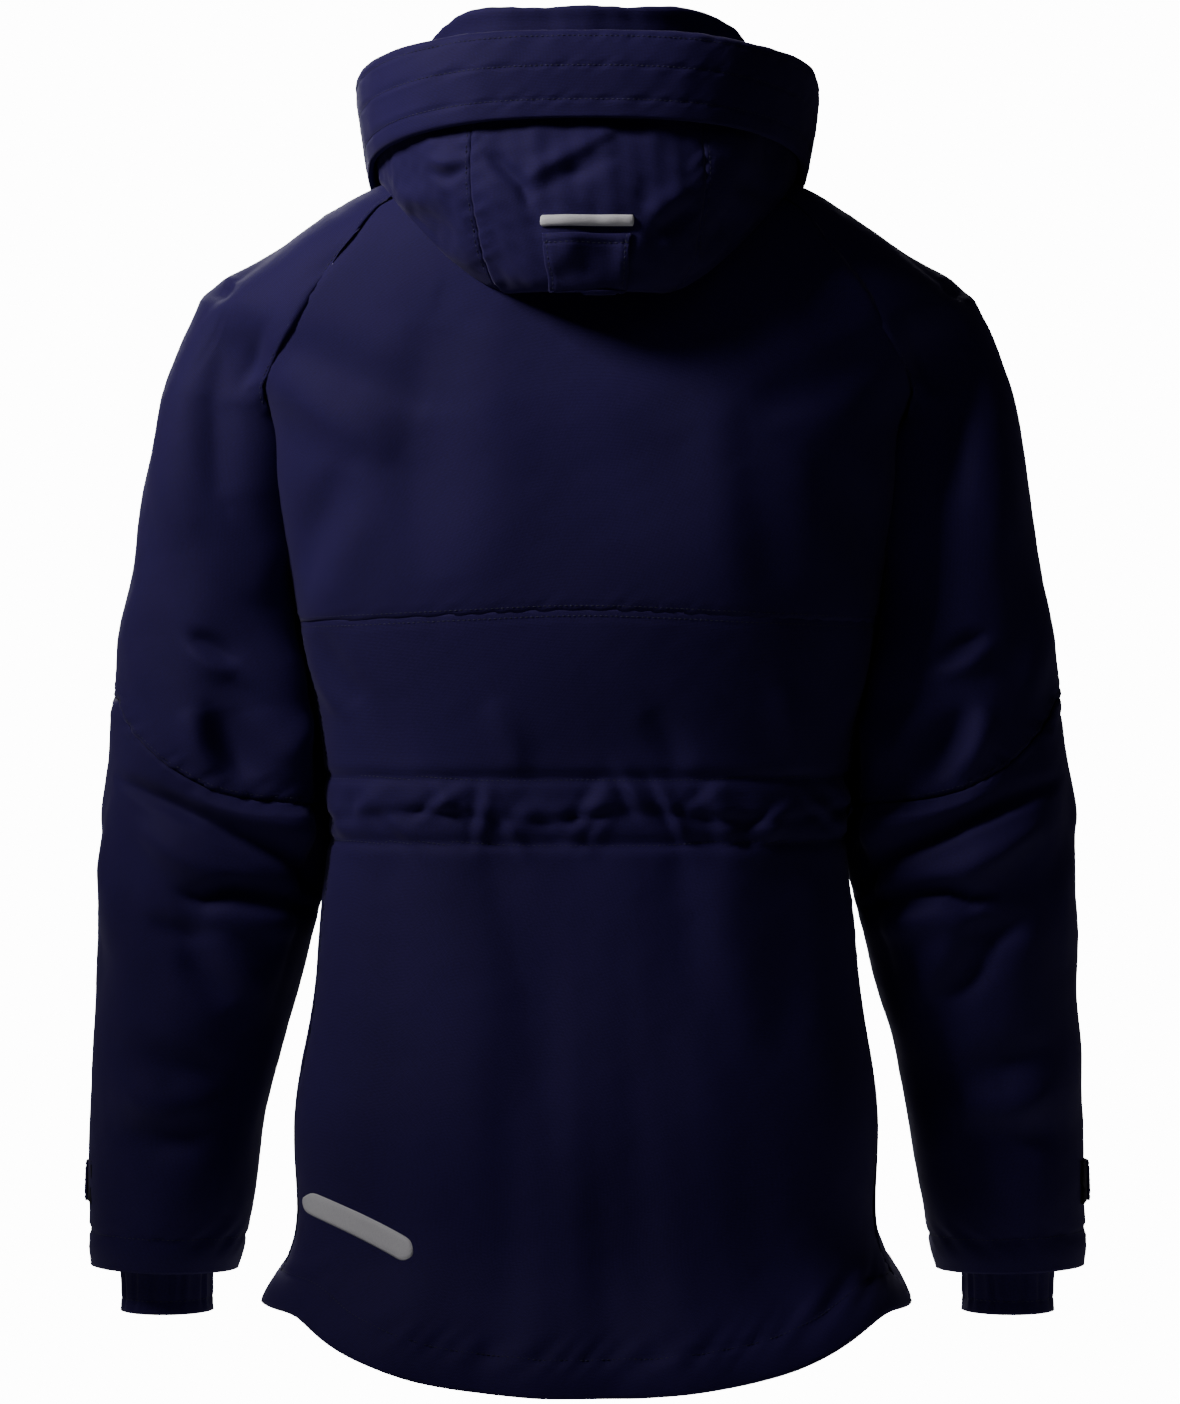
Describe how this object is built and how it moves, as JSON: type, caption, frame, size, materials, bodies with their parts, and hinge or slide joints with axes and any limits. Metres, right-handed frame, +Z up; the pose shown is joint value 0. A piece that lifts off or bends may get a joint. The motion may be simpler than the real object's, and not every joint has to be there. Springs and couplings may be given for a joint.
{
  "type": "foul weather jacket",
  "caption": "Long hooded sailing jacket with a stowed hood, gathered waist, storm flap over a front zip, raglan sleeves, cuff tabs and a dropped tail.",
  "frame": {"origin": "middle of the neck opening, at the height of the nape", "axes": "+X is the wearer's left, -Y is the front of the jacket, +Z is up"},
  "size_m": [0.6666, 0.3052, 0.874],
  "materials": {
    "shell_cloth": "matte woven, coated",
    "lining_cloth": "knitted mesh",
    "fleece": "brushed",
    "reflective_tape": "retroreflective, satin",
    "reflective_piping": "retroreflective, satin",
    "zip_tape": "woven",
    "zip_plastic": "moulded",
    "elastic": "ribbed",
    "hook_tape": "hook and loop",
    "snap_metal": "dark nickel",
    "eyelet_metal": "dark nickel",
    "loop_webbing": "woven webbing"
  },
  "bodies": {
    "torso": {"back_panel": "shell_cloth", "back_yoke": "shell_cloth", "front_panel_left": "shell_cloth", "front_panel_right": "shell_cloth", "shoulder_panel_left": "shell_cloth", "shoulder_panel_right": "shell_cloth", "collar": "shell_cloth", "collar_lining": "fleece", "hood_centre": "shell_cloth", "hood_side_left": "shell_cloth", "hood_side_right": "shell_cloth", "hood_brim": "shell_cloth", "hood_reflective_piping": "reflective_piping", "hood_eyelets": "eyelet_metal", "hanger_loop": "loop_webbing", "body_lining": "lining_cloth", "front_facing_left": "shell_cloth", "front_facing_right": "shell_cloth", "hem_facing": "shell_cloth", "waist_elastic": "elastic", "waist_casing": "shell_cloth", "zip_tape_left": "zip_tape", "zip_tape_right": "zip_tape", "zip_teeth_left": "zip_plastic", "zip_teeth_right": "zip_plastic", "zip_box": "zip_plastic", "zip_top_stops": "zip_plastic", "storm_flap_root": "shell_cloth", "flap_studs": "snap_metal", "pocket_bag_left": "lining_cloth", "pocket_bag_right": "lining_cloth", "pocket_studs": "snap_metal", "reflective_tail_strip": "reflective_tape", "hem_eyelets": "eyelet_metal"},
    "sleeve_left": {"sleeve_left": "shell_cloth"},
    "forearm_left": {"forearm_left": "shell_cloth", "forearm_lining_left": "lining_cloth", "cuff_band_left": "shell_cloth", "storm_cuff_left": "shell_cloth", "cuff_patch_left": "hook_tape"},
    "cuff_tab_left": {"cuff_tab_left": "shell_cloth"},
    "pocket_flap_left": {"pocket_flap_left": "shell_cloth", "pocket_flap_snaps_left": "snap_metal"},
    "sleeve_right": {"sleeve_right": "shell_cloth"},
    "forearm_right": {"forearm_right": "shell_cloth", "forearm_lining_right": "lining_cloth", "cuff_band_right": "shell_cloth", "storm_cuff_right": "shell_cloth", "cuff_patch_right": "hook_tape"},
    "cuff_tab_right": {"cuff_tab_right": "shell_cloth"},
    "pocket_flap_right": {"pocket_flap_right": "shell_cloth", "pocket_flap_snaps_right": "snap_metal"},
    "zip_slider": {"zip_slider": "zip_plastic"},
    "zip_pull": {"zip_pull": "zip_plastic"},
    "storm_flap": {"storm_flap": "shell_cloth", "storm_flap_snaps": "snap_metal"},
    "hood_tab": {"hood_tab": "shell_cloth"}
  },
  "joints": [
    {"name": "sleeve_left_swing", "type": "hinge", "parent": "torso", "child": "sleeve_left", "pos_m": [0.2573, -0.014, -0.092], "axis": [0, -1, 0], "range_deg": [0, 75]},
    {"name": "sleeve_right_swing", "type": "hinge", "parent": "torso", "child": "sleeve_right", "pos_m": [-0.2573, -0.014, -0.092], "axis": [0, 1, 0], "range_deg": [0, 75]},
    {"name": "forearm_left_bend", "type": "hinge", "parent": "sleeve_left", "child": "forearm_left", "pos_m": [0.247, -0.0975, -0.4182], "axis": [-1, 0, 0], "range_deg": [0, 80]},
    {"name": "forearm_right_bend", "type": "hinge", "parent": "sleeve_right", "child": "forearm_right", "pos_m": [-0.247, -0.0975, -0.4182], "axis": [-1, 0, 0], "range_deg": [0, 80]},
    {"name": "cuff_tab_left_peel", "type": "hinge", "parent": "forearm_left", "child": "cuff_tab_left", "pos_m": [0.27, -0.115, -0.662], "axis": [0.1089, -0.1272, -0.9859], "range_deg": [0, 90]},
    {"name": "cuff_tab_right_peel", "type": "hinge", "parent": "forearm_right", "child": "cuff_tab_right", "pos_m": [-0.27, -0.115, -0.662], "axis": [0.1089, 0.1272, 0.9859], "range_deg": [0, 90]},
    {"name": "pocket_flap_left_lift", "type": "hinge", "parent": "torso", "child": "pocket_flap_left", "pos_m": [0.09311, -0.12125, -0.51474], "axis": [-0.955, -0.2967, 0], "range_deg": [0, 100]},
    {"name": "pocket_flap_right_lift", "type": "hinge", "parent": "torso", "child": "pocket_flap_right", "pos_m": [-0.09311, -0.12125, -0.51474], "axis": [-0.955, 0.2967, 0], "range_deg": [0, 100]},
    {"name": "zip_slide", "type": "slide", "parent": "torso", "child": "zip_slider", "axis": [0, 0.0579, 0.9983], "range_m": [-0.7, 0]},
    {"name": "zip_pull_swing", "type": "hinge", "parent": "zip_slider", "child": "zip_pull", "pos_m": [0, -0.09816, 0.03003], "axis": [-1, 0, 0], "range_deg": [0, 120]},
    {"name": "storm_flap_open", "type": "hinge", "parent": "torso", "child": "storm_flap", "pos_m": [0.034, -0.12635, -0.34897], "axis": [0, -0.0579, -0.9983], "range_deg": [-150, 0]},
    {"name": "hood_tab_lift", "type": "hinge", "parent": "torso", "child": "hood_tab", "pos_m": [0, 0.15889, -0.0564], "axis": [1, 0, 0], "range_deg": [0, 110]}
  ]
}
